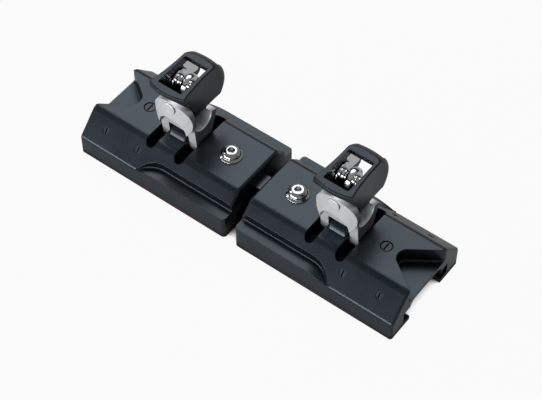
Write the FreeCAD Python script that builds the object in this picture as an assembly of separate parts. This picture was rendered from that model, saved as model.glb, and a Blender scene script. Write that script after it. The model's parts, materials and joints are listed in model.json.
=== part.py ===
import FreeCAD, Part
import math
import os

# A coupled pair of ball bearing track cars, each with a stand-up toggle.
# Millimetres. X runs along the track, Y across it and Z up. The origin is the bottom
# centre of the pair, midway between the cars. The right car is drawn first and the left
# car is the same casting turned half round about Z.

V = FreeCAD.Vector

# Clearances
seat_gap = 0.02          # a pin or screw fixed in its hole, on the radius
run_gap = 0.05           # a pin that turns in its hole, on the radius
side_gap = 0.3           # faces that move past each other

# Car casting
car_length = 137.4
car_width = 84.0
car_spacing = 9.5        # free gap between the two cars
crown_z = 36.0
crown_corner = 23.4      # half width where crown and slope would meet
crown_round = 8.0
shoulder_z = 16.8        # height where slope and side would meet
shoulder_round = 4.0
inner_end_round = 3.0
outer_end_round = 2.0
channel_width = 39.0
channel_z = 20.0
channel_round = 5.5

# Side scoop on the inner half of the car
scoop_wall = 32.0        # distance of the scoop's wall from the centreline
scoop_floor = 20.5
scoop_length = 63.0      # straight stretch, from the inner end
scoop_sweep = 25.0       # radius of the wall's run-out
scoop_foot = 1.2
lip_start = 33.5
lip_round = 0.8
scoop_fall = 60.0        # radius of the floor where it curves down

# Pocket in the crown at the outer end
pocket_half = 22.0
pocket_angle = 35.0
pocket_apex_round = 8.4
pocket_mouth_round = 3.0
pocket_floor = 23.0
pocket_foot = 1.5

# Toggle seat
toggle_station = 72.3    # distance of the toggle's centre from the middle of the pair
swing_z = 30.0
swing_pin_r = 4.0
swing_pin_tail = 8.0     # how far the pin reaches past the inner slot
slot_width = 9.0
slot_pitch = 26.4
slot_reach = 28.0
slot_floor = 22.2
boss_r = 13.0
boss_inset = 0.5
boss_round = 2.5

# Plug that locks the swing pin
plug_station = 107.1
plug_r = 4.7
plug_head_r = 3.9
plug_head_depth = 1.0
plug_sink = 0.3
plug_floor = 25.0
plug_slot = (6.4, 1.2, 1.2)

# Ball races
ball_d = 9.5
ball_y = 21.0
ball_z = 8.5
ball_gap = 0.1
race_depth = 8.0
race_height = 12.6
cap_length = 18.0
cap_height = 4.5
cap_bevel = 0.5
cap_screw_r = 2.0
cap_screw_head_r = 4.0
cap_screw_length = 9.0
cap_screw_y = 34.0

# Slotted screws in the slopes
race_screw_stations = (92.7, 123.6)
race_screw_y = 32.2
race_screw_r = 2.75
race_screw_length = 6.0
race_screw_sink = 0.3
race_screw_slot = (4.6, 1.0, 1.1)

# Coupler
coupler_station = 30.2
link_width = 14.0
link_z = 23.4
link_thick = 3.0
link_yaw = 3.0           # degrees each way
coupler_shank_r = 4.0
coupler_flange_r = 8.9
coupler_flange_h = 1.6
coupler_head_r = 7.0
coupler_head_h = 5.4
coupler_top_r = 3.6
coupler_hex = 5.0
coupler_hex_depth = 3.0
coupler_tip = 20.6

# Toggle base
base_half = 16.3
base_leg_r = 7.5
base_arch_r = 13.5       # hollow over the boss
base_swing = 40.0        # degrees each way
cup_y = 0.9              # the hollow that the head's foot turns in
cup_z = 56.5
cup_r = 9.6
cup_rim = 1.0
ear_thick = 7.9          # at the middle of its bowed front
ear_bow_r = 40.0
ear_r = 17.6
ear_z = 61.6
ear_foot = 52.0
ear_foot_half = 15.0
ear_foot_round = 1.5
ear_arch_r = 12.2
ear_arch_z = 49.5
lug_thick = 5.2
lug_r = 6.2
lug_shoulder = 55.5
yoke_wall = 1.3

# Plug in the front ear
stop_r = 5.0
stop_z = 73.2
stop_seat = 3.5
stop_proud = 1.0
stop_bevel = 0.4

# Toggle pin, the head's pivot
pivot_z = 64.0
pivot_r = 3.5
pivot_blind = 4.0        # metal left between the pin and the ear's front
pivot_slot = (4.6, 1.0, 1.0)
head_swing = 20.0        # degrees each way

# Toggle head
head_top = 94.0
plate_thick = 4.0
head_front = -22.0
head_back = 21.0
head_waist = 13.3        # half width where the hollow sides are nearest
head_waist_y = 14.0
side_hollow_r = 190.0
front_bow_r = 40.5
back_bow_r = 46.5
back_corner = 5.0
window_half = 10.4
window_front = -15.5
window_back = 15.5
window_round = 1.0
knuckle_r = 14.0
knuckle_inset = 0.35
knuckle_hub_r = 7.5
head_base_z = 62.0
head_floor_z = 69.8
head_edge = 1.2
lip_depth = 1.2          # how far the plate's front lip reaches past the throat
throat = (-15.2, 83.6)   # corners of the front seen from the side
breast = (-6.0, 69.0)
throat_round = 6.0
belly = (33.2, 78.0)     # the back seen from the side
tail = (30.8, 64.0)
tail_foot = 25.5         # where the underside turns up into the back
tail_round = 6.0
tail_slope = 32.0

# Spool
spool_y = 6.0
spool_z = 78.5
spool_flange_r = 8.3
spool_belly_r = 9.0
spool_groove_r = 4.6
spool_flange_w = 1.4
spool_belly_w = 3.0
spool_room = 0.4
axle_r = 3.25
axle_skin = 1.2          # wall left over the axle's blind end
axle_slot = (5.0, 1.0, 1.0)

ear_back = cup_y - cup_r
ear_front = ear_back - ear_thick
lug_front = cup_y + cup_r
lug_back = lug_front + lug_thick
yoke_front = ear_back - yoke_wall
inner_x = car_spacing / 2
outer_x = inner_x + car_length
side_y = car_width / 2
slope = math.atan2(crown_z - shoulder_z, side_y - crown_corner)
cut = 60.0               # reach of a cutting tool past the piece


def at(plane, u, v, w):
    """A point given in a drawing plane, with w along the plane's normal."""
    return {"yz": V(w, u, v), "xz": V(u, w, v), "xy": V(u, v, w)}[plane]


def outline(corners, plane, w=0.0):
    """A closed wire through corners (u, v) or (u, v, radius)."""
    points = [V(c[0], c[1], 0) for c in corners]
    radii = [c[2] if len(c) > 2 else 0.0 for c in corners]
    edges = []
    ends = []
    count = len(points)
    for i, here in enumerate(points):
        back = (points[i - 1] - here).normalize()
        ahead = (points[(i + 1) % count] - here).normalize()
        if radii[i] == 0:
            ends.append((here, None, here))
            continue
        half = back.getAngle(ahead) / 2
        bisector = (back + ahead).normalize()
        centre = here + bisector * (radii[i] / math.sin(half))
        reach = radii[i] / math.tan(half)
        ends.append((here + back * reach, centre - bisector * radii[i], here + ahead * reach))
    for i, (first, middle, last) in enumerate(ends):
        if middle is not None:
            arc = [at(plane, p.x, p.y, w) for p in (first, middle, last)]
            edges.append(Part.Arc(*arc).toShape())
        start = ends[(i + 1) % count][0]
        if last.distanceToPoint(start) > 1e-6:
            edges.append(Part.makeLine(at(plane, last.x, last.y, w), at(plane, start.x, start.y, w)))
    return Part.Wire(edges)


def prism(corners, plane, low, high):
    """A solid with the outline drawn in the plane, from low to high along its normal."""
    return Part.Face(outline(corners, plane, low)).extrude(at(plane, 0, 0, high - low))


def block(x, y, z):
    """A box between two limits on each axis."""
    return Part.makeBox(x[1] - x[0], y[1] - y[0], z[1] - z[0], V(x[0], y[0], z[0]))


def rod(plane, radius, low, high, u=0.0, v=0.0):
    """A cylinder along the plane's normal, about the point (u, v)."""
    return Part.makeCylinder(radius, high - low, at(plane, u, v, low), at(plane, 0, 0, 1))


def turned(profile, origin, axis):
    """A solid of revolution from a closed list of edges."""
    return Part.Face(Part.Wire(profile)).revolve(origin, axis, 360)


def edges_of(shape, test):
    """The shape's edges whose bounding box passes the test."""
    return [edge for edge in shape.Edges if test(edge.BoundBox)]


def both_sides(shape):
    """The shape and its mirror image across the centreline."""
    return [shape, shape.mirror(V(0, 0, 0), V(0, 1, 0))]


def slotted(shape, slot, top, centre=(0, 0)):
    """A screwdriver slot (length, width, depth) in a head whose top is at the height given."""
    length, width, depth = slot
    x, y = centre
    tool = block((x - width / 2, x + width / 2), (y - length / 2, y + length / 2), (top - depth, top + 1))
    return shape.cut(tool)


# Casting

def slope_z(y):
    """Height of the sloping side at a distance from the centreline."""
    return shoulder_z + (side_y - y) * math.tan(slope)


def car_blank():
    """The outer form of the casting with its ends rounded."""
    half = [(side_y, 0), (side_y, shoulder_z, shoulder_round), (crown_corner, crown_z, crown_round)]
    section = half + [(-c[0],) + tuple(c[1:]) for c in reversed(half)]
    blank = prism(section, "yz", inner_x, outer_x)
    for end, radius in ((inner_x, inner_end_round), (outer_x, outer_end_round)):
        rim = edges_of(blank, lambda b: abs(b.XMin - end) < 0.01 and abs(b.XMax - end) < 0.01 and b.ZMax > 0.01)
        blank = blank.makeFillet(radius, rim)
    return blank


def scoop_plan(low, high):
    """The ground plan of one scoop, seen from above, as a prism."""
    start = inner_x + scoop_length
    turn = math.acos(1 - (side_y + 1 - scoop_wall) / scoop_sweep)
    mid = turn / 2
    arc = [V(start + scoop_sweep * math.sin(a), scoop_wall + scoop_sweep * (1 - math.cos(a)), low)
           for a in (0, mid, turn)]
    corners = [V(inner_x - 1, side_y + 1, low), V(inner_x - 1, scoop_wall, low), arc[0]]
    edges = [Part.makeLine(corners[0], corners[1]), Part.makeLine(corners[1], corners[2]),
             Part.Arc(*arc).toShape(), Part.makeLine(arc[2], corners[0])]
    return Part.Face(Part.Wire(edges)).extrude(V(0, 0, high - low))


def above_scoop_floor(top):
    """Everything over the scoop's floor, which is level and then curves down to the shoulder."""
    start = inner_x + scoop_length - 2
    turn = 0.5
    bend = [V(start + scoop_fall * math.sin(a), 0, scoop_floor - scoop_fall * (1 - math.cos(a)))
            for a in (0, turn / 2, turn)]
    back = V(inner_x - 1, 0, scoop_floor)
    edges = [Part.makeLine(back, bend[0]), Part.Arc(*bend).toShape(), Part.makeLine(bend[2], V(bend[2].x, 0, top)),
             Part.makeLine(V(bend[2].x, 0, top), V(back.x, 0, top)), Part.makeLine(V(back.x, 0, top), back)]
    return Part.Face(Part.Wire(edges)).extrude(V(0, side_y + 2, 0))


def scoop_tool():
    """What the scoop removes, with a rounded foot to its wall."""
    tool = scoop_plan(0, crown_z + 2).common(above_scoop_floor(crown_z + 1))
    foot = edges_of(tool, lambda b: b.ZMax < scoop_floor + 0.01 and b.YMin < scoop_wall + 12 and b.YMax > b.YMin - 1
                    and b.XMax - b.XMin > 1 and b.YMin < side_y)
    return tool.makeFillet(scoop_foot, foot)


def scoop_lip():
    """The flange along the foot of the scoop, a little proud of its floor until the scoop is cut."""
    lip = block((inner_x, outer_x), (lip_start, side_y), (shoulder_z / 2, scoop_floor + 1))
    corner = edges_of(lip, lambda b: b.XMax < inner_x + 0.01 and b.YMin > side_y - 0.01)
    return lip.makeFillet(inner_end_round, corner).common(scoop_plan(0, crown_z))


def pocket_tool():
    """The pointed pocket at the outer end of the crown."""
    apex = outer_x - pocket_half / math.tan(math.radians(pocket_angle))
    wide = pocket_half + pocket_mouth_round * 3
    corners = [(apex, 0, pocket_apex_round)]
    for sign in (1, -1):
        side = [(outer_x, sign * pocket_half, pocket_mouth_round), (outer_x, sign * wide),
                (outer_x + wide, sign * wide)]
        corners += side if sign > 0 else list(reversed(side))
    tool = prism(corners, "xy", pocket_floor, crown_z + cut)
    foot = edges_of(tool, lambda b: b.ZMax < pocket_floor + 0.01 and b.XMax < outer_x - 0.01)
    return tool.makeFillet(pocket_foot, foot)


def toggle_slots(centre):
    """The two slots that the toggle's legs swing in."""
    slots = []
    for sign in (-1, 1):
        x = centre + sign * slot_pitch / 2
        round_end = slot_width / 2 - 0.01
        slots.append(prism([(x - slot_width / 2, -slot_reach, round_end), (x + slot_width / 2, -slot_reach, round_end),
                            (x + slot_width / 2, slot_reach, round_end), (x - slot_width / 2, slot_reach, round_end)],
                           "xy", slot_floor, crown_z + cut))
    return slots


def toggle_boss(centre):
    """The round boss between the slots."""
    half = (slot_pitch - slot_width) / 2 - boss_inset
    boss = rod("yz", boss_r, centre - half, centre + half, 0, swing_z)
    boss = boss.makeFillet(boss_round, edges_of(boss, lambda b: b.XMax - b.XMin < 0.01))
    return boss.common(block((0, outer_x), (-side_y, side_y), (slot_floor, cut * 2)))


def race_tools():
    """Room for one race liner in the near leg, and the groove for the balls."""
    y = channel_width / 2
    room = block((inner_x - 1, outer_x + 1), (y - 1, y + race_depth),
                 (ball_z - race_height / 2, ball_z + race_height / 2))
    groove = rod("yz", ball_d / 2 + ball_gap, inner_x - 1, outer_x + 1, ball_y, ball_z)
    return room, groove


def cap_stations():
    """The length of track that each end cap covers."""
    return ((inner_x, inner_x + cap_length), (outer_x - cap_length, outer_x))


def cap_screw_places():
    """Centres of the screws that hold the caps of one leg."""
    return [((low + high) / 2, cap_screw_y) for low, high in cap_stations()]


def slope_frame(shape, x, sign):
    """Moves a shape drawn about Z so that it stands on the slope at a station."""
    y = race_screw_y
    placed = shape.copy()
    placed.rotate(V(0, 0, 0), V(1, 0, 0), -sign * math.degrees(slope))
    placed.translate(V(x, sign * y, slope_z(y)))
    return placed


def casting():
    """The right car's body."""
    body = car_blank()
    for lip in both_sides(scoop_lip()):
        body = body.fuse(lip)
    for tool in both_sides(scoop_tool()):
        body = body.cut(tool)
    half = channel_width / 2
    body = body.cut(prism([(-half, -1), (-half, channel_z, channel_round), (half, channel_z, channel_round),
                           (half, -1)], "yz", inner_x - 1, outer_x + 1))
    body = body.cut(pocket_tool())
    for slot in toggle_slots(toggle_station):
        body = body.cut(slot)
    body = body.fuse(toggle_boss(toggle_station))
    body = body.cut(rod("yz", swing_pin_r + seat_gap, swing_pin_start(), outer_x, 0, swing_z))
    body = body.cut(rod("xy", plug_r + seat_gap, plug_floor, crown_z + 1, plug_station, 0))
    body = body.cut(coupler_room())
    body = body.cut(rod("xy", coupler_shank_r + seat_gap, channel_z - 1, crown_z + 1, coupler_station, 0))
    room, groove = race_tools()
    for tool in both_sides(room):
        body = body.cut(tool)
    for low, high in cap_stations():
        for tool in both_sides(block((low - 1 if low == inner_x else low, high + 1 if high == outer_x else high),
                                     (half - 1, side_y + 1), (-1, cap_height))):
            body = body.cut(tool)
    for x, y in cap_screw_places():
        for tool in both_sides(rod("xy", cap_screw_r + seat_gap, 0, cap_screw_length + seat_gap, x, y)):
            body = body.cut(tool)
    for x in race_screw_stations:
        for sign in (-1, 1):
            hole = rod("xy", race_screw_r + seat_gap, -race_screw_length - race_screw_sink, cut / 4)
            body = body.cut(slope_frame(hole, x, sign))
    return body.removeSplitter()


def end_caps():
    """The four plastic caps under the ends of the legs."""
    blank = car_blank()
    caps = []
    half = channel_width / 2
    groove = race_tools()[1]
    for (low, high), (x, y) in zip(cap_stations(), cap_screw_places()):
        cap = blank.common(block((low, high), (half, side_y), (0, cap_height)))
        rim = edges_of(cap, lambda b: b.ZMin > cap_height - 0.01 and b.YMax > half + 1
                       and (b.YMin > half + 1 or (b.XMax - b.XMin < 0.01 and (b.XMax > outer_x - 0.01 or b.XMin < inner_x + 0.01))))
        cap = cap.makeChamfer(cap_bevel, rim)
        cap = cap.cut(groove).cut(cap_screw(x, y, seat_gap))
        caps += both_sides(cap)
    return Part.Compound(caps)


def cap_screw(x, y, gap=0.0):
    """A countersunk screw that holds a cap from below."""
    sink = cap_screw_head_r - cap_screw_r
    shank = rod("xy", cap_screw_r + gap, 0, cap_screw_length, x, y)
    head = Part.makeCone(cap_screw_head_r + gap, cap_screw_r + gap, sink, V(x, y, 0))
    return shank.fuse(head)


def cap_screws():
    """The screws of all four caps."""
    screws = []
    for x, y in cap_screw_places():
        screw = cap_screw(x, y)
        length, width, depth = race_screw_slot
        screws += both_sides(screw.cut(block((x - width / 2, x + width / 2), (y - length / 2, y + length / 2),
                                             (-1, depth))))
    return Part.Compound(screws)


def ball_races():
    """The two plastic liners that the balls run in."""
    y = channel_width / 2
    liner = block((inner_x + inner_end_round, outer_x - outer_end_round), (y, y + race_depth),
                  (ball_z - race_height / 2, ball_z + race_height / 2))
    liner = liner.cut(race_tools()[1])
    for low, high in cap_stations():
        liner = liner.cut(block((low, high), (0, side_y), (0, cap_height)))
    return Part.Compound(both_sides(liner))


def ball_rows():
    """One bar in each race, over the space that the row of balls fills."""
    bar = rod("yz", ball_d / 2, inner_x + cap_length / 2, outer_x - cap_length / 2, ball_y, ball_z)
    return Part.Compound(both_sides(bar))


def race_screws():
    """Slotted screws sunk in the outer half of the slopes."""
    screws = []
    top = -race_screw_sink
    for x in race_screw_stations:
        for sign in (-1, 1):
            screw = slotted(rod("xy", race_screw_r, -race_screw_length, top), race_screw_slot, top)
            screws.append(slope_frame(screw, x, sign))
    return Part.Compound(screws)


# Swing pin and its plug

def swing_pin_start():
    """The blind end of the pin's hole."""
    return toggle_station - (slot_pitch + slot_width) / 2 - swing_pin_tail


def swing_pin():
    """The pin that the toggle swings on, put in from the end pocket."""
    return rod("yz", swing_pin_r, swing_pin_start() + side_gap, plug_station - plug_r - side_gap, 0, swing_z)


def pin_plug():
    """The slotted plug that stops the pin from coming out."""
    top = crown_z - plug_sink
    plug = rod("xy", plug_r, plug_floor + side_gap, top, plug_station, 0)
    ring = rod("xy", plug_r + 1, top - plug_head_depth, top + 1, plug_station, 0)
    plug = plug.cut(ring.cut(rod("xy", plug_head_r, 0, cut, plug_station, 0)))
    return slotted(plug, plug_slot, top, (plug_station, 0))


# Coupler

def coupler_room():
    """The pocket in the inner end that the link yaws in."""
    reach = coupler_station - inner_x
    half = link_width / 2 + reach * math.tan(math.radians(link_yaw)) + side_gap
    back = coupler_station + link_width / 2 + side_gap
    rounded = link_width / 2
    return prism([(inner_x - 1, -half), (back, -half, rounded), (back, half, rounded), (inner_x - 1, half)],
                 "xy", link_z - side_gap, link_z + link_thick + side_gap)


def coupler_link():
    """The flat steel link between the cars."""
    half = link_width / 2
    reach = coupler_station + half
    corners = [(reach, -half, half - 0.01), (reach, half, half - 0.01),
               (-reach, half, half - 0.01), (-reach, -half, half - 0.01)]
    link = prism(corners, "xy", link_z, link_z + link_thick)
    for x in (-coupler_station, coupler_station):
        link = link.cut(rod("xy", coupler_shank_r + run_gap, 0, cut, x, 0))
    return link


def coupler_screw():
    """A flanged button head screw with a hexagon socket."""
    x = coupler_station
    base = crown_z + coupler_flange_h
    top = crown_z + coupler_head_h
    start = V(x + coupler_head_r, 0, base)
    end = V(x + coupler_top_r, 0, top)
    middle = V(x + (coupler_head_r + coupler_top_r) / 2 + 0.8, 0, (base + top) / 2 + 0.9)
    edges = [Part.makeLine(V(x, 0, crown_z), V(x + coupler_flange_r, 0, crown_z)),
             Part.makeLine(V(x + coupler_flange_r, 0, crown_z), V(x + coupler_flange_r, 0, base - 0.4)),
             Part.makeLine(V(x + coupler_flange_r, 0, base - 0.4), start),
             Part.Arc(start, middle, end).toShape(),
             Part.makeLine(end, V(x, 0, top)),
             Part.makeLine(V(x, 0, top), V(x, 0, crown_z))]
    head = turned(edges, V(x, 0, 0), V(0, 0, 1))
    radius = coupler_hex / math.sqrt(3)
    corners = [(x + radius * math.cos(math.radians(a)), radius * math.sin(math.radians(a)))
               for a in range(0, 360, 60)]
    head = head.cut(prism(corners, "xy", top - coupler_hex_depth, top + 1))
    return head.fuse(rod("xy", coupler_shank_r, coupler_tip, crown_z, x, 0)).removeSplitter()


# Toggle

def base_under_cut():
    """What is cleared between the legs so that the base can swing over the crown."""
    half = (slot_pitch - slot_width) / 2 + 2 * side_gap - 0.2
    lean = math.radians(base_swing)
    rise = crown_z - swing_z + side_gap
    foot = swing_z + rise / math.cos(lean)
    wing = foot + cut * math.tan(lean)
    roof = prism([(-cut, swing_z - cut), (cut, swing_z - cut), (cut, wing), (0, foot), (-cut, wing)],
                 "yz", -half, half)
    return roof.fuse(rod("yz", base_arch_r, -half, half, 0, swing_z))


def leg_flank(y, z):
    """The point where a line from (y, z) touches the round of the leg."""
    reach = math.hypot(y, z - swing_z)
    turn = math.acos(base_leg_r / reach)
    angle = math.atan2(z - swing_z, y) + (turn if y < 0 else -turn)
    return base_leg_r * math.cos(angle), swing_z + base_leg_r * math.sin(angle)


def toggle_base():
    """The silver clevis that stands on the car, drawn about X = 0."""
    yoke = prism([(yoke_front, cup_z), leg_flank(yoke_front, cup_z), (0, swing_z), leg_flank(lug_back, ear_foot),
                  (lug_back, ear_foot), (lug_back, lug_shoulder), (lug_front, cup_z)], "yz", -base_half, base_half)
    yoke = yoke.fuse(rod("yz", base_leg_r, -base_half, base_half, 0, swing_z))
    base = yoke.fuse([front_ear(), back_lug()])
    base = base.cut(base_under_cut())
    for tool in cup_tools():
        base = base.cut(tool)
    base = base.cut(block((-cut, cut), (ear_back, lug_front), (cup_z, cup_z + cut)))
    base = base.cut(rod("yz", swing_pin_r + run_gap, -cut, cut, 0, swing_z))
    base = base.cut(rod("xz", pivot_r + seat_gap, pivot_start(), lug_back + 1, 0, pivot_z))
    base = base.cut(rod("xz", stop_r + seat_gap, ear_front - 1, ear_front + stop_seat, 0, stop_z))
    return base.removeSplitter()


def cup_tools():
    """The round hollow across the base, with its rims rounded over at both sides."""
    low = base_half - cup_rim
    wide = cup_r + cup_rim
    bulge = cup_rim * (1 - math.sqrt(0.5))
    outer = base_half + 1

    def rim(x, r):
        return V(x, cup_y, cup_z - r)

    edges = [Part.makeLine(rim(-1, 0), rim(outer, 0)), Part.makeLine(rim(outer, 0), rim(outer, wide)),
             Part.makeLine(rim(outer, wide), rim(base_half, wide)),
             Part.Arc(rim(base_half, wide), rim(base_half - bulge, cup_r + bulge), rim(low, cup_r)).toShape(),
             Part.makeLine(rim(low, cup_r), rim(-1, cup_r)), Part.makeLine(rim(-1, cup_r), rim(-1, 0))]
    side = turned(edges, V(0, cup_y, cup_z), V(1, 0, 0)).common(block((-cut, cut), (-cut, cut), (0, cup_z)))
    return [side, side.mirror(V(0, 0, 0), V(1, 0, 0))]


def front_ear():
    """The arched ear in front, bowed about an upright axis."""
    ear = rod("xz", ear_r, ear_front, ear_back, 0, ear_z)
    lean = ear_r * 0.08
    ear = ear.fuse(prism([(-ear_foot_half, ear_foot, ear_foot_round), (ear_foot_half, ear_foot, ear_foot_round),
                          (ear_r - lean * 0.04, ear_z + lean), (-ear_r + lean * 0.04, ear_z + lean)],
                         "xz", ear_front, ear_back))
    ear = ear.cut(rod("xz", ear_arch_r, ear_front - 1, ear_back + 1, 0, ear_arch_z))
    return ear.common(rod("xy", ear_bow_r, 0, cut * 2, 0, ear_front + ear_bow_r))


def back_lug():
    """The narrow lug behind, which the pivot pin goes in through."""
    lug = rod("xz", lug_r, lug_front, lug_back, 0, pivot_z)
    return lug.fuse(prism([(-lug_r, lug_shoulder - 1), (lug_r, lug_shoulder - 1), (lug_r, pivot_z),
                           (-lug_r, pivot_z)], "xz", lug_front, lug_back))


def pivot_start():
    """The blind end of the pivot pin's hole."""
    return ear_front + pivot_blind


def toggle_pin():
    """The slotted pin that the head turns on, put in from behind."""
    pin = rod("xz", pivot_r, pivot_start() + side_gap, lug_back, 0, pivot_z)
    length, width, depth = pivot_slot
    slot = block((-width / 2, width / 2), (lug_back - depth, lug_back + 1), (-length / 2, length / 2))
    slot.translate(V(0, 0, pivot_z))
    return pin.cut(slot)


def toggle_plug():
    """The round steel plug pressed in the front ear."""
    front = ear_front - stop_proud
    plug = rod("xz", stop_r, front, ear_front + stop_seat, 0, stop_z)
    return plug.makeChamfer(stop_bevel, edges_of(plug, lambda b: b.YMax < front + 0.01))


def head_plan(z, bow):
    """The head's outline at a height: hollow sides, a bowed back and round corners between them."""
    side = V(head_waist + side_hollow_r, head_waist_y, z)
    back = V(0, head_back - back_bow_r, z)
    back_r = bow.Center.y + math.sqrt(bow.Radius ** 2 - (z - bow.Center.z) ** 2) - back.y
    span = (side - back).Length
    along = ((back_r - back_corner) ** 2 - (side_hollow_r + back_corner) ** 2 + span ** 2) / (2 * span)
    across = math.sqrt((back_r - back_corner) ** 2 - along ** 2)
    line = (side - back).normalize()
    corner = back + line * along + V(-line.y, line.x, 0) * across
    first = corner + (side - corner).normalize() * back_corner
    last = corner + (corner - back).normalize() * back_corner
    middle = corner + (first + last - corner * 2).normalize() * back_corner

    def side_at(y):
        return V(side.x - math.sqrt(side_hollow_r ** 2 - (y - side.y) ** 2), y, z)

    def other(point):
        return V(-point.x, point.y, point.z)

    front = head_front - 4
    start, bend = side_at(front), side_at((front + first.y) / 2)
    arcs = [(start, bend, first), (first, middle, last), (last, V(0, back.y + back_r, z), other(last)),
            (other(last), other(middle), other(first)), (other(first), other(bend), other(start))]
    return Part.Wire([Part.Arc(*arc).toShape() for arc in arcs] + [Part.makeLine(other(start), start)])


def head_blank():
    """The outer form of the head, lofted through plans and trimmed by its side view."""
    bow = Part.Arc(V(0, head_back, head_top), V(0, belly[0], belly[1]), V(0, tail[0], tail[1])).toShape().Curve
    low = head_base_z - 0.5
    count = 7
    plans = [head_plan(low + (head_top - low) * i / (count - 1), bow) for i in range(count)]
    blank = Part.makeLoft(plans, True, False)
    blank = blank.makeFillet(head_edge, edges_of(blank, lambda b: b.ZMin > head_top - 0.01 and b.YMax > head_front))
    front = rod("xy", front_bow_r, 0, head_top, 0, head_front + front_bow_r)
    front = front.makeFillet(head_edge, edges_of(front, lambda b: b.ZMin > head_top - 0.01))
    under = head_top - plate_thick
    side_view = prism([(head_front - 1, head_top), (head_front - 1, under + 0.5), (head_front + lip_depth, under),
                       throat + (throat_round,), breast + (throat_round,), (breast[0], head_base_z),
                       (lug_front - knuckle_inset, head_base_z - 0.2), (tail_foot, head_base_z, tail_round),
                       (cut, head_base_z + (cut - tail_foot) * math.tan(math.radians(tail_slope))), (cut, head_top)],
                      "yz", -cut, cut)
    return blank.common(front).common(side_view)


def knuckle():
    """The rounded foot of the head that turns in the cup of the base."""
    y0 = cup_y - cup_r + knuckle_inset
    y1 = cup_y + cup_r - knuckle_inset
    bend = cup_r - knuckle_inset
    low = pivot_z - cup_z
    step = math.sqrt(bend ** 2 - (knuckle_r - low) ** 2)
    turn = math.atan2(knuckle_r - low, step) / 2

    def ring(y, r):
        return V(0, y, pivot_z - r)

    def bend_point(sign, angle):
        return ring(cup_y + sign * bend * math.cos(angle), low + bend * math.sin(angle))

    edges = [Part.makeLine(ring(y0, 0), ring(y0, low)),
             Part.Arc(ring(y0, low), bend_point(-1, turn), bend_point(-1, 2 * turn)).toShape(),
             Part.makeLine(bend_point(-1, 2 * turn), bend_point(1, 2 * turn)),
             Part.Arc(bend_point(1, 2 * turn), bend_point(1, turn), ring(y1, low)).toShape(),
             Part.makeLine(ring(y1, low), ring(y1, 0)), Part.makeLine(ring(y1, 0), ring(y0, 0))]
    foot = turned(edges, V(0, 0, pivot_z), V(0, 1, 0))
    return foot.common(block((-cut, cut), (-cut, cut), (0, head_floor_z - 1)))


def toggle_head():
    """The black head: a frame on two cheeks over a round foot, drawn about X = 0."""
    head = head_blank().fuse(knuckle())
    inside = block((-window_half, window_half), (-cut, cut), (head_floor_z, head_top - plate_thick))
    gap_y = lug_front - knuckle_inset
    tail = block((-window_half, window_half), (gap_y, cut), (0, head_top - plate_thick))
    window = prism([(-window_half, window_front, window_round), (window_half, window_front, window_round),
                    (window_half, window_back, window_round), (-window_half, window_back, window_round)],
                   "xy", head_floor_z, head_top + 1)
    room = rod("yz", spool_belly_r + spool_room, -window_half, window_half, spool_y, spool_z)
    head = head.cut(inside).cut(tail).cut(window).cut(room)
    sweep = ear_r + 2 * abs(pivot_z - ear_z) * math.sin(math.radians(head_swing / 2)) + side_gap
    head = head.cut(rod("xz", sweep, ear_front - stop_proud - side_gap, ear_back + side_gap, 0, ear_z))
    head = head.cut(rod("xz", pivot_r + run_gap, -cut, cut, 0, pivot_z))
    return head.cut(axle(seat_gap)).removeSplitter()


def cheek_half(y):
    """Half width of the head at a distance along it."""
    return head_waist + side_hollow_r - math.sqrt(side_hollow_r ** 2 - (y - head_waist_y) ** 2)


def axle(gap=0.0):
    """The axle's round, or with a gap the hole for it."""
    half = cheek_half(spool_y)
    end = half + 1 if gap else half - side_gap
    return rod("yz", axle_r + gap, -end, half - axle_skin, spool_y, spool_z)


def spool_axle():
    """The axle in the cheeks, with a slot in its open end."""
    end = -cheek_half(spool_y) + side_gap
    length, width, depth = axle_slot
    slot = block((end - 1, end + depth), (-width / 2, width / 2), (-length / 2, length / 2))
    slot.translate(V(0, spool_y, spool_z))
    return axle().cut(slot)


def spool():
    """The polished spool with two grooves and a round belly between them."""
    half = window_half - side_gap
    flange = half - spool_flange_w
    belly = spool_belly_w / 2
    groove = (flange + belly + 1.4) / 2

    def rim(x, r):
        return V(x, 0, r)

    edges = [Part.makeLine(rim(-half, axle_r + run_gap), rim(-half, spool_flange_r)),
             Part.makeLine(rim(-half, spool_flange_r), rim(-flange, spool_flange_r)),
             Part.Arc(rim(-flange, spool_flange_r), rim(-groove, spool_groove_r),
                      rim(-belly - 1.2, spool_belly_r - 0.9)).toShape(),
             Part.Arc(rim(-belly - 1.2, spool_belly_r - 0.9), rim(0, spool_belly_r),
                      rim(belly + 1.2, spool_belly_r - 0.9)).toShape(),
             Part.Arc(rim(belly + 1.2, spool_belly_r - 0.9), rim(groove, spool_groove_r),
                      rim(flange, spool_flange_r)).toShape(),
             Part.makeLine(rim(flange, spool_flange_r), rim(half, spool_flange_r)),
             Part.makeLine(rim(half, spool_flange_r), rim(half, axle_r + run_gap)),
             Part.makeLine(rim(half, axle_r + run_gap), rim(-half, axle_r + run_gap))]
    body = turned(edges, V(0, 0, 0), V(1, 0, 0))
    body.translate(V(0, spool_y, spool_z))
    return body


def save(name, shape):
    """Writes one piece and prints its size."""
    shape.exportStep("parts/%s.step" % name)
    box = shape.BoundBox
    print("%-22s solids %d  volume %9.1f  %6.1f x %5.1f x %5.1f  valid %s" % (
        name, len(shape.Solids), shape.Volume, box.XLength, box.YLength, box.ZLength, shape.isValid()))


def turned_about(shape):
    """The same piece on the left car, half a turn round."""
    other = shape.copy()
    other.rotate(V(0, 0, 0), V(0, 0, 1), 180)
    return other


def moved(shape, x):
    """The same piece at a station along the track."""
    other = shape.copy()
    other.translate(V(x, 0, 0))
    return other


os.makedirs("parts", exist_ok=True)

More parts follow.
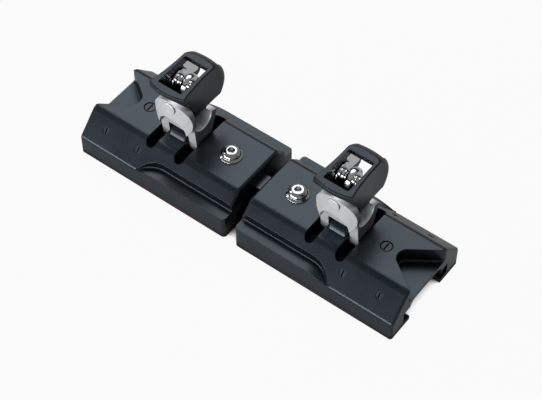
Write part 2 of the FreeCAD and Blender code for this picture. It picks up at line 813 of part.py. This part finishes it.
for piece in (casting, ball_races, ball_rows, end_caps, cap_screws, race_screws, swing_pin, pin_plug, coupler_screw):
    name = {"casting": "body"}.get(piece.__name__, piece.__name__)
    solid = piece()
    save("right_" + name, solid)
    save("left_" + name, turned_about(solid))

for piece in (toggle_base, toggle_pin, toggle_plug, toggle_head, spool, spool_axle):
    solid = piece()
    save("right_" + piece.__name__, moved(solid, toggle_station))
    save("left_" + piece.__name__, moved(solid, -toggle_station))

save("coupler_link", coupler_link())
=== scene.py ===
import json
import math

import bmesh
import bpy
from mathutils import Matrix, Vector


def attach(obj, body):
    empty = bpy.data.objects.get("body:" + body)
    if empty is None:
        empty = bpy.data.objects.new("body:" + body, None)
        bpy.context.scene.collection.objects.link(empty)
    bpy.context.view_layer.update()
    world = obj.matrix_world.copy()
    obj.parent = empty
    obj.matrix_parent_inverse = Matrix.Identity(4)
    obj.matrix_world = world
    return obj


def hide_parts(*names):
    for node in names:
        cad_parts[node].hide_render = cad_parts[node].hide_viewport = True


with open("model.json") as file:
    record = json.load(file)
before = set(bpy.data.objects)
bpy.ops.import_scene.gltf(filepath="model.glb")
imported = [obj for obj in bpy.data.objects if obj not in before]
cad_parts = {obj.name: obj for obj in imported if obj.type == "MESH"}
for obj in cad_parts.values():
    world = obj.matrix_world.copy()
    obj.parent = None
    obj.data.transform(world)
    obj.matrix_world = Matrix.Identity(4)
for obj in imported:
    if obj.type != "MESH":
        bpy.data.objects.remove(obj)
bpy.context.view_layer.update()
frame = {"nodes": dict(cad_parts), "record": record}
nodes = frame["nodes"]
mm = 0.001
mergeWithin = 0.001 * mm
sides = (("left", -1), ("right", 1))
print("frame loaded:", len(nodes), "nodes")

# camera

view = {
    "azimuth": 37.142, "elevation": 51.728,  # degrees
    "distance": 1198.67, "across": 4.861, "up": 3.655,  # mm
    "lens": 107.72, "sensor": 36,  # mm
    "clip": (0.01, 20),  # metres
}


def placeCamera():
    az, el = math.radians(view["azimuth"]), math.radians(view["elevation"])
    right = Vector((math.cos(az), math.sin(az), 0))
    up = Vector((-math.sin(az) * math.sin(el), math.cos(az) * math.sin(el), math.cos(el)))
    back = right.cross(up)
    data = bpy.data.cameras.new("camera")
    data.lens = view["lens"]
    data.sensor_width = view["sensor"]
    data.clip_start, data.clip_end = view["clip"]
    camera = bpy.data.objects.new("camera", data)
    bpy.context.scene.collection.objects.link(camera)
    spot = (back * view["distance"] + right * view["across"] + up * view["up"]) * mm
    turn = Matrix((right, up, back)).transposed().to_4x4()
    camera.matrix_world = Matrix.Translation(spot) @ turn
    bpy.context.scene.camera = camera


placeCamera()
print("camera placed")


# node helpers

def newMaterial(name):
    mat = bpy.data.materials.new(name)
    mat.use_nodes = True
    tree = mat.node_tree
    return mat, tree, tree.nodes["Principled BSDF"]


def addNode(tree, kind, inputs=None, **settings):
    node = tree.nodes.new(kind)
    for key, value in settings.items():
        setattr(node, key, value)
    for key, value in (inputs or {}).items():
        socket = node.inputs[key]
        if isinstance(value, bpy.types.NodeSocket):
            tree.links.new(value, socket)
        else:
            socket.default_value = value
    return node


def addMath(tree, operation, first, second=0.0, clamp=False):
    node = addNode(tree, "ShaderNodeMath", {0: first, 1: second}, operation=operation, use_clamp=clamp)
    return node.outputs["Value"]


def addRange(tree, value, fromMin, fromMax, toMin=0.0, toMax=1.0):
    node = addNode(tree, "ShaderNodeMapRange", {
        "Value": value, "From Min": fromMin, "From Max": fromMax, "To Min": toMin, "To Max": toMax})
    return node.outputs["Result"]


def addNoise(tree, coords, scale, detail, roughness=0.5):
    node = addNode(tree, "ShaderNodeTexNoise", {
        "Vector": coords, "Scale": scale, "Detail": detail, "Roughness": roughness})
    return node.outputs["Fac"]


def mixColour(tree, factor, first, second):  # sockets 6, 7 and 2 are the mix node's colours
    mix = addNode(tree, "ShaderNodeMix", {0: factor, 6: first, 7: second}, data_type="RGBA")
    return mix.outputs[2]


def layOver(tree, colour, mask, amount, over):
    return mixColour(tree, addMath(tree, "MULTIPLY", mask, amount), colour, (*over, 1))


def newGroup(name, inputs, outputs):
    group = bpy.data.node_groups.new(name, "ShaderNodeTree")
    for label, value in inputs:
        kind = "NodeSocketVector" if isinstance(value, tuple) else "NodeSocketFloat"
        group.interface.new_socket(name=label, in_out="INPUT", socket_type=kind).default_value = value
    for label, kind in outputs:
        group.interface.new_socket(name=label, in_out="OUTPUT", socket_type="NodeSocket" + kind)
    return group, addNode(group, "NodeGroupInput"), addNode(group, "NodeGroupOutput")


# shared surface effects

grainLook = {
    "fineDetail": 2.0, "patchDetail": 4.0, "patchRoughness": 0.55, "patchRange": (0.3, 0.7),
    "speckDetail": 1.0, "speckRange": (0.66, 0.76),
}


def makeGrain():  # fine blasted grain, with broad soft patches and a few specks
    look = grainLook
    group, start, end = newGroup(
        "blastGrain", [("Scale", 5000.0), ("Patch Scale", 45.0), ("Speck Scale", 900.0)],
        [("Grain", "Float"), ("Patch", "Float"), ("Specks", "Float")])
    coords = addNode(group, "ShaderNodeTexCoord").outputs["Object"]
    fine = addNoise(group, coords, start.outputs["Scale"], look["fineDetail"])
    broad = addNoise(group, coords, start.outputs["Patch Scale"], look["patchDetail"], look["patchRoughness"])
    speck = addNoise(group, coords, start.outputs["Speck Scale"], look["speckDetail"])
    group.links.new(fine, end.inputs["Grain"])
    group.links.new(addRange(group, broad, *look["patchRange"]), end.inputs["Patch"])
    group.links.new(addRange(group, speck, *look["speckRange"]), end.inputs["Specks"])
    return group


edgeLook = {
    "samples": 6, "cornerRange": (0.985, 0.80),  # how far the soft normal agrees with the flat one
    "patchDetail": 4.0, "patchRange": (0.35, 0.7), "patchLeast": 0.25,
}


def makeEdge():  # rounded normals at corners, and where the corners rub
    look = edgeLook
    group, start, end = newGroup("edgeWear", [("Width", 0.0004), ("Breakup", 220.0)],
                                 [("Mask", "Float"), ("Normal", "Vector")])
    soft = addNode(group, "ShaderNodeBevel", {"Radius": start.outputs["Width"]}, samples=look["samples"])
    flat = addNode(group, "ShaderNodeNewGeometry")
    dot = addNode(group, "ShaderNodeVectorMath", {0: soft.outputs["Normal"], 1: flat.outputs["Normal"]},
                  operation="DOT_PRODUCT")
    corner = addRange(group, dot.outputs["Value"], *look["cornerRange"])
    coords = addNode(group, "ShaderNodeTexCoord").outputs["Object"]
    noise = addNoise(group, coords, start.outputs["Breakup"], look["patchDetail"])
    patch = addRange(group, noise, *look["patchRange"], toMin=look["patchLeast"])
    group.links.new(addMath(group, "MULTIPLY", corner, patch, True), end.inputs["Mask"])
    group.links.new(soft.outputs["Normal"], end.inputs["Normal"])
    return group


def makeLines():  # fine drawn or turned lines; small numbers run along the lines
    group, start, end = newGroup("drawnLines", [("Along", (40.0, 4000.0, 4000.0))], [("Lines", "Float")])
    coords = addNode(group, "ShaderNodeTexCoord").outputs["Object"]
    stretch = addNode(group, "ShaderNodeVectorMath", {0: coords, 1: start.outputs["Along"]},
                      operation="MULTIPLY")
    group.links.new(addNoise(group, stretch.outputs["Vector"], scale=1.0, detail=3.0), end.inputs["Lines"])
    return group


hollowLook = {"samples": 8, "openRange": (0.82, 0.35)}


def makeHollow():  # mask for painted shade: 1 in deep corners and slots, 0 in the open
    group, start, end = newGroup("hollowShade", [("Reach", 0.010)], [("Mask", "Float")])
    shade = addNode(group, "ShaderNodeAmbientOcclusion", {"Distance": start.outputs["Reach"]},
                    samples=hollowLook["samples"])
    group.links.new(addRange(group, shade.outputs["AO"], *hollowLook["openRange"]), end.inputs["Mask"])
    return group


def makeEnds():  # mask for painted shade: 1 on the faces that look along X, 0 on the others
    group, start, end = newGroup("endFaces", [("Start", 0.72), ("Full", 0.9)], [("Mask", "Float")])
    facing = addNode(group, "ShaderNodeTexCoord").outputs["Normal"]
    parts = addNode(group, "ShaderNodeSeparateXYZ", {"Vector": facing})
    turned = addMath(group, "ABSOLUTE", parts.outputs["X"])
    span = addMath(group, "SUBTRACT", start.outputs["Full"], start.outputs["Start"])
    above = addMath(group, "SUBTRACT", turned, start.outputs["Start"])
    group.links.new(addMath(group, "DIVIDE", above, span, True), end.inputs["Mask"])
    return group


pinstripe = {
    "half": (33.5, 35.0), "middle": (88.5, -57.0), "height": 1.5, "width": 0.8, "side": 41.5,  # mm
    "colour": (0.16, 0.012, 0.018), "strength": 0.85,
}


def makePinstripe():  # one painted line low on each outer side of a car
    group, start, end = newGroup("sideLine", [("Soften", 0.00012)], [("Mask", "Float")])
    coords = addNode(group, "ShaderNodeTexCoord").outputs["Object"]
    parts = addNode(group, "ShaderNodeSeparateXYZ", {"Vector": coords})
    x, y, z = (parts.outputs[axis] for axis in "XYZ")
    along = addMath(group, "MULTIPLY", x, addMath(group, "MULTIPLY", addMath(group, "SIGN", y), -1.0))
    spans = []
    for middle, half in zip(pinstripe["middle"], pinstripe["half"]):
        off = addMath(group, "ABSOLUTE", addMath(group, "SUBTRACT", along, middle * mm))
        spans.append(addMath(group, "LESS_THAN", off, half * mm))
    high = addMath(group, "ABSOLUTE", addMath(group, "SUBTRACT", z, pinstripe["height"] * mm))
    inside = addMath(group, "SUBTRACT", pinstripe["width"] / 2 * mm, high)
    edge = addMath(group, "DIVIDE", inside, start.outputs["Soften"], True)
    outer = addMath(group, "GREATER_THAN", addMath(group, "ABSOLUTE", y), pinstripe["side"] * mm)
    either = addMath(group, "ADD", spans[0], spans[1], True)
    mask = addMath(group, "MULTIPLY", either, addMath(group, "MULTIPLY", edge, outer))
    group.links.new(mask, end.inputs["Mask"])
    return group


groups = {"grain": makeGrain(), "edge": makeEdge(), "lines": makeLines(), "hollow": makeHollow(),
          "stripe": makePinstripe(), "ends": makeEnds()}


def useGroup(tree, key, inputs=None):
    node = addNode(tree, "ShaderNodeGroup", None, node_tree=groups[key])
    for label, value in (inputs or {}).items():
        node.inputs[label].default_value = value
    return node


# anodised, moulded and painted finishes

# the deep colour is painted shade, laid on deep corners and slots
satin = {"specks": 0.12, "paintedShadeColour": (0.002, 0.0024, 0.003), "bumpDistance": 0.00004}  # shared by all six
# each finish's hollow number is the amount of painted shade in deep corners and slots
finishes = {
    "bodyAnodised": {
        "dark": (0.0050, 0.0074, 0.0112), "light": (0.0078, 0.0110, 0.0158), "edge": (0.034, 0.042, 0.051),
        "edgeAmount": 0.24, "edgeWidth": 0.0005, "edgeBreakup": 260.0, "grainScale": 5200.0,
        "patchScale": 32.0, "roughness": 0.28, "roughSpread": 0.03, "bump": 0.10, "specular": 0.58,
        "tint": (0.72, 0.87, 1.0), "hollow": 0.85, "striped": True},
    "headAnodised": {
        "dark": (0.0046, 0.0064, 0.0088), "light": (0.0070, 0.0094, 0.0125), "edge": (0.040, 0.048, 0.056),
        "edgeAmount": 0.34, "edgeWidth": 0.0005, "edgeBreakup": 300.0, "grainScale": 5600.0,
        "patchScale": 60.0, "roughness": 0.29, "roughSpread": 0.03, "bump": 0.09, "specular": 0.46,
        "tint": (0.74, 0.88, 1.0), "hollow": 0.85},
    "capPlastic": {
        "dark": (0.0055, 0.0060, 0.0070), "light": (0.0085, 0.0090, 0.0100), "edge": (0.035, 0.037, 0.04),
        "edgeAmount": 0.3, "edgeWidth": 0.0003, "edgeBreakup": 300.0, "grainScale": 4200.0,
        "patchScale": 70.0, "roughness": 0.48, "roughSpread": 0.05, "bump": 0.2, "specular": 0.4,
        "tint": (1.0, 1.0, 1.0), "hollow": 0.6},
    "racePlastic": {
        "dark": (0.026, 0.026, 0.027), "light": (0.036, 0.036, 0.037), "edge": (0.08, 0.08, 0.08),
        "edgeAmount": 0.2, "edgeWidth": 0.0003, "edgeBreakup": 300.0, "grainScale": 4200.0,
        "patchScale": 70.0, "roughness": 0.42, "roughSpread": 0.04, "bump": 0.12, "specular": 0.45,
        "tint": (1.0, 1.0, 1.0), "hollow": 0.5},
    "ballPlastic": {
        "dark": (0.20, 0.17, 0.09), "light": (0.27, 0.23, 0.13), "edge": (0.3, 0.26, 0.16),
        "edgeAmount": 0.0, "edgeWidth": 0.0003, "edgeBreakup": 300.0, "grainScale": 3000.0,
        "patchScale": 160.0, "roughness": 0.28, "roughSpread": 0.04, "bump": 0.05, "specular": 0.5,
        "tint": (1.0, 1.0, 1.0), "hollow": 0.3},
    "darkScrew": {
        "dark": (0.011, 0.014, 0.018), "light": (0.018, 0.022, 0.027), "edge": (0.10, 0.11, 0.12),
        "edgeAmount": 0.8, "edgeWidth": 0.0004, "edgeBreakup": 500.0, "grainScale": 6000.0,
        "patchScale": 220.0, "roughness": 0.34, "roughSpread": 0.05, "bump": 0.12, "specular": 0.6,
        "tint": (0.85, 0.93, 1.0), "hollow": 0.9},
}


def satinMaterial(name, look):
    mat, tree, shader = newMaterial(name)
    grain = useGroup(tree, "grain", {"Scale": look["grainScale"], "Patch Scale": look["patchScale"]})
    edge = useGroup(tree, "edge", {"Width": look["edgeWidth"], "Breakup": look["edgeBreakup"]})
    hollow = useGroup(tree, "hollow")
    colour = mixColour(tree, grain.outputs["Patch"], (*look["dark"], 1), (*look["light"], 1))
    colour = layOver(tree, colour, edge.outputs["Mask"], look["edgeAmount"], look["edge"])
    colour = layOver(tree, colour, grain.outputs["Specks"], satin["specks"], look["edge"])
    # painted shade: deep corners and slots are mixed towards a near-black colour
    deep = addMath(tree, "MULTIPLY", hollow.outputs["Mask"], look["hollow"])
    colour = mixColour(tree, deep, colour, (*satin["paintedShadeColour"], 1))
    if look.get("striped"):
        line = useGroup(tree, "stripe")
        colour = layOver(tree, colour, line.outputs["Mask"], pinstripe["strength"], pinstripe["colour"])
    tree.links.new(colour, shader.inputs["Base Color"])
    rough = addRange(tree, grain.outputs["Patch"], 0.0, 1.0, look["roughness"] - look["roughSpread"],
                     look["roughness"] + look["roughSpread"])
    tree.links.new(rough, shader.inputs["Roughness"])
    tree.links.new(deep, shader.inputs["Metallic"])  # painted shade: makes deep corners dark and takes the gloss off them
    bump = addNode(tree, "ShaderNodeBump", {
        "Height": grain.outputs["Grain"], "Normal": edge.outputs["Normal"], "Strength": look["bump"],
        "Distance": satin["bumpDistance"]})
    tree.links.new(bump.outputs["Normal"], shader.inputs["Normal"])
    shader.inputs["Specular IOR Level"].default_value = look["specular"]
    shader.inputs["Specular Tint"].default_value = (*look["tint"], 1)
    return mat


# bare metals

# the deep colour is painted shade in deep corners; the end colour is painted shade on the faces that look
# along X
bare = {  # shared by all four
    "grainScale": 2500.0, "deepReach": 0.004, "paintedShadeAmount": 0.5, "paintedShadeColour": (0.12, 0.125, 0.13),
    "endShadeColour": (0.03, 0.033, 0.038), "roughRange": (0.4, 1.6), "edgeRough": 0.06, "bumpDistance": 0.000008,
}
metals = {
    "baseSilver": {
        "dark": (0.79, 0.815, 0.84), "light": (0.88, 0.90, 0.92), "along": (700.0, 700.0, 2600.0),
        "patchScale": 260.0, "roughness": 0.42, "roughSpread": 0.04, "bump": 0.16, "edgeWidth": 0.0006,
        # the last number on the next line is painted shade on the faces that look along X
        "metallic": 0.5, "paintedEndShade": 0.85},
    "steelPolished": {
        "dark": (0.52, 0.535, 0.55), "light": (0.60, 0.615, 0.63), "along": (3000.0, 260.0, 260.0),
        "patchScale": 140.0, "roughness": 0.10, "roughSpread": 0.03, "bump": 0.06, "edgeWidth": 0.0003},
    "spoolPolished": {
        "dark": (0.82, 0.83, 0.84), "light": (0.90, 0.91, 0.92), "along": (4200.0, 60.0, 60.0),
        "patchScale": 160.0, "roughness": 0.13, "roughSpread": 0.03, "bump": 0.05, "edgeWidth": 0.0003},
    # a darker copy of the steel: painted shade for the coupler link and swing pin, which sit in shade
    "steelPaintedShade": {
        "dark": (0.040, 0.050, 0.060), "light": (0.052, 0.064, 0.075), "along": (60.0, 3200.0, 3200.0),
        "patchScale": 110.0, "roughness": 0.24, "roughSpread": 0.05, "bump": 0.12, "edgeWidth": 0.0003},
}


def metalMaterial(name, look):
    mat, tree, shader = newMaterial(name)
    lines = useGroup(tree, "lines", {"Along": look["along"]})
    grain = useGroup(tree, "grain", {"Scale": bare["grainScale"], "Patch Scale": look["patchScale"]})
    edge = useGroup(tree, "edge", {"Width": look["edgeWidth"]})
    hollow = useGroup(tree, "hollow", {"Reach": bare["deepReach"]})
    colour = mixColour(tree, grain.outputs["Patch"], (*look["dark"], 1), (*look["light"], 1))
    # painted shade in deep corners
    colour = layOver(tree, colour, hollow.outputs["Mask"], bare["paintedShadeAmount"], bare["paintedShadeColour"])
    # painted shade on the faces that look along X
    if look.get("paintedEndShade"):
        ends = useGroup(tree, "ends")
        colour = layOver(tree, colour, ends.outputs["Mask"], look["paintedEndShade"], bare["endShadeColour"])
    tree.links.new(colour, shader.inputs["Base Color"])
    both = addMath(tree, "ADD", lines.outputs["Lines"], grain.outputs["Patch"])
    rough = addRange(tree, both, *bare["roughRange"], look["roughness"] - look["roughSpread"],
                     look["roughness"] + look["roughSpread"])
    worn = addMath(tree, "MULTIPLY", edge.outputs["Mask"], bare["edgeRough"])
    tree.links.new(addMath(tree, "ADD", rough, worn, True), shader.inputs["Roughness"])
    bump = addNode(tree, "ShaderNodeBump", {
        "Height": lines.outputs["Lines"], "Normal": edge.outputs["Normal"], "Strength": look["bump"],
        "Distance": bare["bumpDistance"]})
    tree.links.new(bump.outputs["Normal"], shader.inputs["Normal"])
    shader.inputs["Metallic"].default_value = look.get("metallic", 1.0)
    return mat


materials = {name: satinMaterial(name, look) for name, look in finishes.items()}
materials.update({name: metalMaterial(name, look) for name, look in metals.items()})
print("materials made:", len(materials))

slotFinish = {
    "body": "bodyAnodised", "race": "racePlastic", "ball": "ballPlastic", "cap": "capPlastic",
    "fastener": "steelPolished", "dark_screw": "darkScrew", "base": "baseSilver", "head": "headAnodised",
    "spool": "spoolPolished",
}
# the coupler link and swing pin take the darker steel, which paints their shade
ownFinish = {"coupler_link": "steelPaintedShade", "swing_pin": "steelPaintedShade", "toggle_plug": "baseSilver"}
nodeSlot = {piece["node"]: piece["material_slot"] for piece in frame["record"]["subparts"]}


def dress(obj, finish):
    obj.data.materials.clear()
    obj.data.materials.append(materials[finish])


for name, obj in nodes.items():
    plain = name.removeprefix("left_").removeprefix("right_")
    dress(obj, ownFinish.get(plain, slotFinish[nodeSlot[name]]))
print("CAD nodes dressed")


# mesh helpers

def makePiece(name, bm, finish, body, replaced=(), smooth=35.0):
    mesh = bpy.data.meshes.new(name)
    bmesh.ops.remove_doubles(bm, verts=bm.verts, dist=mergeWithin)
    bmesh.ops.recalc_face_normals(bm, faces=bm.faces)
    bm.normal_update()
    bm.to_mesh(mesh)
    bm.free()
    piece = bpy.data.objects.new(name, mesh)
    bpy.context.scene.collection.objects.link(piece)
    for polygon in mesh.polygons:
        polygon.use_smooth = True
    mesh.set_sharp_from_angle(angle=math.radians(smooth))
    dress(piece, finish)
    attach(piece, body)
    if replaced:
        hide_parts(*replaced)


def spinProfile(bm, points, centre, axis, steps):  # points are (radius, height) in mm, spun about the axis
    across = Vector((1, 0, 0)) if axis.z else Vector((0, 0, 1))
    verts = [bm.verts.new((centre + across * radius + axis * height) * mm) for radius, height in points]
    edges = [bm.edges.new(pair) for pair in zip(verts, verts[1:])]
    bmesh.ops.spin(bm, geom=verts + edges, cent=centre * mm, axis=axis, angle=math.tau, steps=steps,
                   use_merge=True)


def arcPoints(first, middle, last, steps):  # points on the circle through three points
    (ax, ay), (bx, by), (cx, cy) = first, middle, last
    a, b, c = (x * x + y * y for x, y in (first, middle, last))
    d = 2 * (ax * (by - cy) + bx * (cy - ay) + cx * (ay - by))
    ux = (a * (by - cy) + b * (cy - ay) + c * (ay - by)) / d
    uy = (a * (cx - bx) + b * (ax - cx) + c * (bx - ax)) / d
    radius = math.hypot(ax - ux, ay - uy)
    start, mid, end = (math.atan2(y - uy, x - ux) for x, y in (first, middle, last))
    turn = (end - start) % math.tau
    if (mid - start) % math.tau > turn:
        turn -= math.tau
    angles = [start + turn * i / steps for i in range(steps + 1)]
    return [(ux + radius * math.cos(angle), uy + radius * math.sin(angle)) for angle in angles]


def sharpEdges(bm, angle):
    return [edge for edge in bm.edges if len(edge.link_faces) == 2
            and edge.calc_face_angle(0) > math.radians(angle)]


def roundEdges(bm, width, angle, segments=3):
    bmesh.ops.remove_doubles(bm, verts=bm.verts, dist=mergeWithin)
    bmesh.ops.recalc_face_normals(bm, faces=bm.faces)
    bmesh.ops.bevel(bm, geom=sharpEdges(bm, angle), offset=width * mm, segments=segments, profile=0.5,
                    affect="EDGES", material=-1, clamp_overlap=True)


def onlyVerts(items):
    return [item for item in items if isinstance(item, bmesh.types.BMVert)]


# balls

balls = {
    "radius": 4.75, "count": 12, "first": 14.75, "pitch": 9.95, "rows": (-21.0, 21.0), "height": 8.5,  # mm
    "subdivisions": 3, "smooth": 180,
}


def makeBalls(side, sign):
    look = balls
    bm = bmesh.new()
    for row in look["rows"]:
        for i in range(look["count"]):
            spot = Vector((sign * (look["first"] + i * look["pitch"]), row, look["height"]))
            bmesh.ops.create_icosphere(bm, subdivisions=look["subdivisions"], radius=look["radius"] * mm,
                                       matrix=Matrix.Translation(spot * mm))
    makePiece(side + "Balls", bm, "ballPlastic", side + "_car", (side + "_ball_rows",),
              look["smooth"])


for side, sign in sides:
    makeBalls(side, sign)
print("balls placed")

# coupler screws

couplerScrew = {
    "station": 30.2, "tip": 20.6, "seat": 36.0, "shank": 4.0, "flange": 8.9, "rim": 36.7,  # mm
    "shoulder": (7.2, 37.8), "crown": (6.3, 40.0), "top": (3.9, 41.4), "domeSteps": 10,
    "socket": 5.0, "depth": 3.0, "steps": 72, "round": 0.22, "roundAbove": 28, "smooth": 40,
}


def makeCouplerScrew(side, sign):
    look = couplerScrew
    bm = bmesh.new()
    centre = Vector((sign * look["station"], 0, 0))
    dome = arcPoints(look["shoulder"], look["crown"], look["top"], look["domeSteps"])
    profile = [(0, look["tip"]), (look["shank"], look["tip"]), (look["shank"], look["seat"]),
               (look["flange"], look["seat"]), (look["flange"], look["rim"])] + dome
    spinProfile(bm, profile, centre, Vector((0, 0, 1)), look["steps"])
    top = look["top"][1]
    rim = [edge for edge in bm.edges if len(edge.link_faces) < 2
           and all(abs(v.co.z - top * mm) < mergeWithin for v in edge.verts)]
    bmesh.ops.create_circle(bm, segments=6, radius=look["socket"] / math.sqrt(3) * mm,
                            matrix=Matrix.Translation((centre + Vector((0, 0, top))) * mm))
    flats = [edge for edge in bm.edges if not edge.link_faces]
    bmesh.ops.subdivide_edges(bm, edges=flats, cuts=look["steps"] // 6 - 1)
    loop = [edge for edge in bm.edges if not edge.link_faces]
    bmesh.ops.bridge_loops(bm, edges=rim + loop)
    wall = bmesh.ops.extrude_edge_only(bm, edges=loop)["geom"]
    bmesh.ops.translate(bm, vec=Vector((0, 0, -look["depth"])) * mm, verts=onlyVerts(wall))
    bmesh.ops.holes_fill(bm, edges=[item for item in wall if isinstance(item, bmesh.types.BMEdge)], sides=0)
    roundEdges(bm, look["round"], look["roundAbove"])
    makePiece(side + "CouplerScrew", bm, "steelPolished", side + "_car",
              (side + "_coupler_screw",), look["smooth"])


for side, sign in sides:
    makeCouplerScrew(side, sign)
print("coupler screws turned")

# spools

spoolShape = {
    "station": 72.3, "y": 6.0, "z": 78.5, "bore": 3.3, "end": 10.1, "flange": 8.3, "flangeIn": 8.7,  # mm
    "groove": (4.6, 5.8), "rise": (8.1, 2.7), "grooveSteps": 14, "belly": 9.0, "bellySteps": 10,
    "steps": 96, "round": 0.3, "roundAbove": 40, "smooth": 40,
}


def makeSpool(side, sign):
    look = spoolShape
    bm = bmesh.new()
    centre = Vector((sign * look["station"], look["y"], look["z"]))
    low, turnIn = look["groove"], look["rise"]
    half = arcPoints((look["flange"], -look["flangeIn"]), (low[0], -low[1]), (turnIn[0], -turnIn[1]),
                     look["grooveSteps"])
    middle = arcPoints((turnIn[0], -turnIn[1]), (look["belly"], 0), turnIn, look["bellySteps"])[1:-1]
    other = [(r, -h) for r, h in reversed(half)]
    profile = ([(look["bore"], -look["end"]), (look["flange"], -look["end"])] + half + middle + other
               + [(look["flange"], look["end"]), (look["bore"], look["end"]), (look["bore"], -look["end"])])
    spinProfile(bm, profile, centre, Vector((1, 0, 0)), look["steps"])
    roundEdges(bm, look["round"], look["roundAbove"])
    makePiece(side + "Spool", bm, "spoolPolished", side + "_spool", (side + "_spool",),
              look["smooth"])


for side, sign in sides:
    makeSpool(side, sign)
print("spools turned")

# bright liners on the inner walls of the heads, behind the spools

liner = {
    "station": 72.3, "wall": 10.4, "thick": 0.2,  # mm
    "room": ((12.0, 85.6), (15.4, 79.6), (15.0, 74.6)), "roomSteps": 8,  # an arc round the spool
    "rear": ((16.0, 72.0), (18.5, 70.6), (28.2, 69.0), (30.8, 76.8), (30.0, 81.6), (25.6, 87.7),
             (12.0, 87.7)),
}


def makeLiners(side, sign):
    look = liner
    outline = arcPoints(*look["room"], look["roomSteps"]) + list(look["rear"])
    bm = bmesh.new()
    for wall in (-1, 1):
        x = sign * look["station"] + wall * look["wall"]
        verts = [bm.verts.new(Vector((x, y, z)) * mm) for y, z in outline]
        face = bmesh.ops.contextual_create(bm, geom=verts)["faces"]
        grown = bmesh.ops.extrude_face_region(bm, geom=face)["geom"]
        bmesh.ops.translate(bm, vec=Vector((-wall * look["thick"], 0, 0)) * mm, verts=onlyVerts(grown))
    makePiece(side + "Liners", bm, "spoolPolished", side + "_toggle_head")


for side, sign in sides:
    makeLiners(side, sign)
print("liners fitted")

# floor, lamps and world

stage = {
    "floorSize": 14.0, "floorDrop": 0.0002, "roughness": 0.9, "specular": 0.1,
    "seen": 0.95, "mirrored": 0.25, "world": 0.23,  # white to the camera, in reflections, and as light
    # the gap colour is a painted shadow on the floor between the cars
    "openColour": (0.36, 0.363, 0.366), "gapShadowColour": (0.02, 0.021, 0.022),
    "gapReach": 0.04, "gapRange": (0.26, 0.46), "gapSamples": 48, "aim": (0, 0, 0.03),
}
lamps = {  # metres and watts
    "overhead": {"spot": (-0.60, 0.79, 1.26), "size": (1.3, 1.3), "power": 10.5},
    "front": {"spot": (-0.30, -1.45, 0.20), "size": (2.0, 0.34), "power": 19.0},
    "left": {"spot": (-1.25, -0.35, 0.85), "size": (0.5, 0.5), "power": 2.5},
}


def makeFloor():
    bm = bmesh.new()
    bmesh.ops.create_grid(bm, x_segments=1, y_segments=1, size=stage["floorSize"] / 2)
    mesh = bpy.data.meshes.new("floor")
    bm.to_mesh(mesh)
    bm.free()
    floor = bpy.data.objects.new("floor", mesh)
    floor.location = (0, 0, -stage["floorDrop"])
    bpy.context.scene.collection.objects.link(floor)
    mat, tree, shader = newMaterial("floorWhite")
    shader.inputs["Roughness"].default_value = stage["roughness"]
    shader.inputs["Specular IOR Level"].default_value = stage["specular"]
    glow = addNode(tree, "ShaderNodeEmission", {"Color": (1, 1, 1, 1), "Strength": 1.0})
    path = addNode(tree, "ShaderNodeLightPath")
    seen = addMath(tree, "MULTIPLY", path.outputs["Is Camera Ray"], stage["seen"])
    reflected = addMath(tree, "ADD", path.outputs["Is Glossy Ray"], path.outputs["Is Transmission Ray"],
                        True)
    mirrored = addMath(tree, "MULTIPLY", reflected, stage["mirrored"])
    shade = addNode(tree, "ShaderNodeAmbientOcclusion", {"Distance": stage["gapReach"]},
                    samples=stage["gapSamples"])
    clear = addRange(tree, shade.outputs["AO"], *stage["gapRange"])  # painted shadow mask: 0 in the narrow gap between the cars, 1 in the open
    # painted shadow: in the gap the floor loses its white glow and takes a near-black colour
    factor = addMath(tree, "MULTIPLY", addMath(tree, "MAXIMUM", seen, mirrored), clear)
    colour = mixColour(tree, clear, (*stage["gapShadowColour"], 1), (*stage["openColour"], 1))
    tree.links.new(colour, shader.inputs["Base Color"])
    mix = addNode(tree, "ShaderNodeMixShader", {
        0: factor, 1: shader.outputs["BSDF"], 2: glow.outputs["Emission"]})
    tree.links.new(mix.outputs["Shader"], tree.nodes["Material Output"].inputs["Surface"])
    mesh.materials.append(mat)


def makeLamp(name, look):
    data = bpy.data.lights.new(name, "AREA")
    data.shape = "RECTANGLE"
    data.size, data.size_y = look["size"]
    data.energy = look["power"]
    lamp = bpy.data.objects.new(name, data)
    bpy.context.scene.collection.objects.link(lamp)
    lamp.location = look["spot"]
    lamp.rotation_euler = (Vector(stage["aim"]) - Vector(look["spot"])).to_track_quat("-Z", "Y").to_euler()


def makeWorld():
    world = bpy.data.worlds.new("studio")
    world.use_nodes = True
    tree = world.node_tree
    background = tree.nodes["Background"]
    background.inputs["Color"].default_value = (1, 1, 1, 1)
    behind = addNode(tree, "ShaderNodeLightPath").outputs["Is Camera Ray"]  # white past the floor's end
    strength = addRange(tree, behind, 0.0, 1.0, stage["world"], stage["seen"])
    tree.links.new(strength, background.inputs["Strength"])
    bpy.context.scene.world = world


makeFloor()
for name, look in lamps.items():
    makeLamp(name, look)
makeWorld()
bpy.context.scene.view_settings.view_transform = "Standard"
print("stage lit")
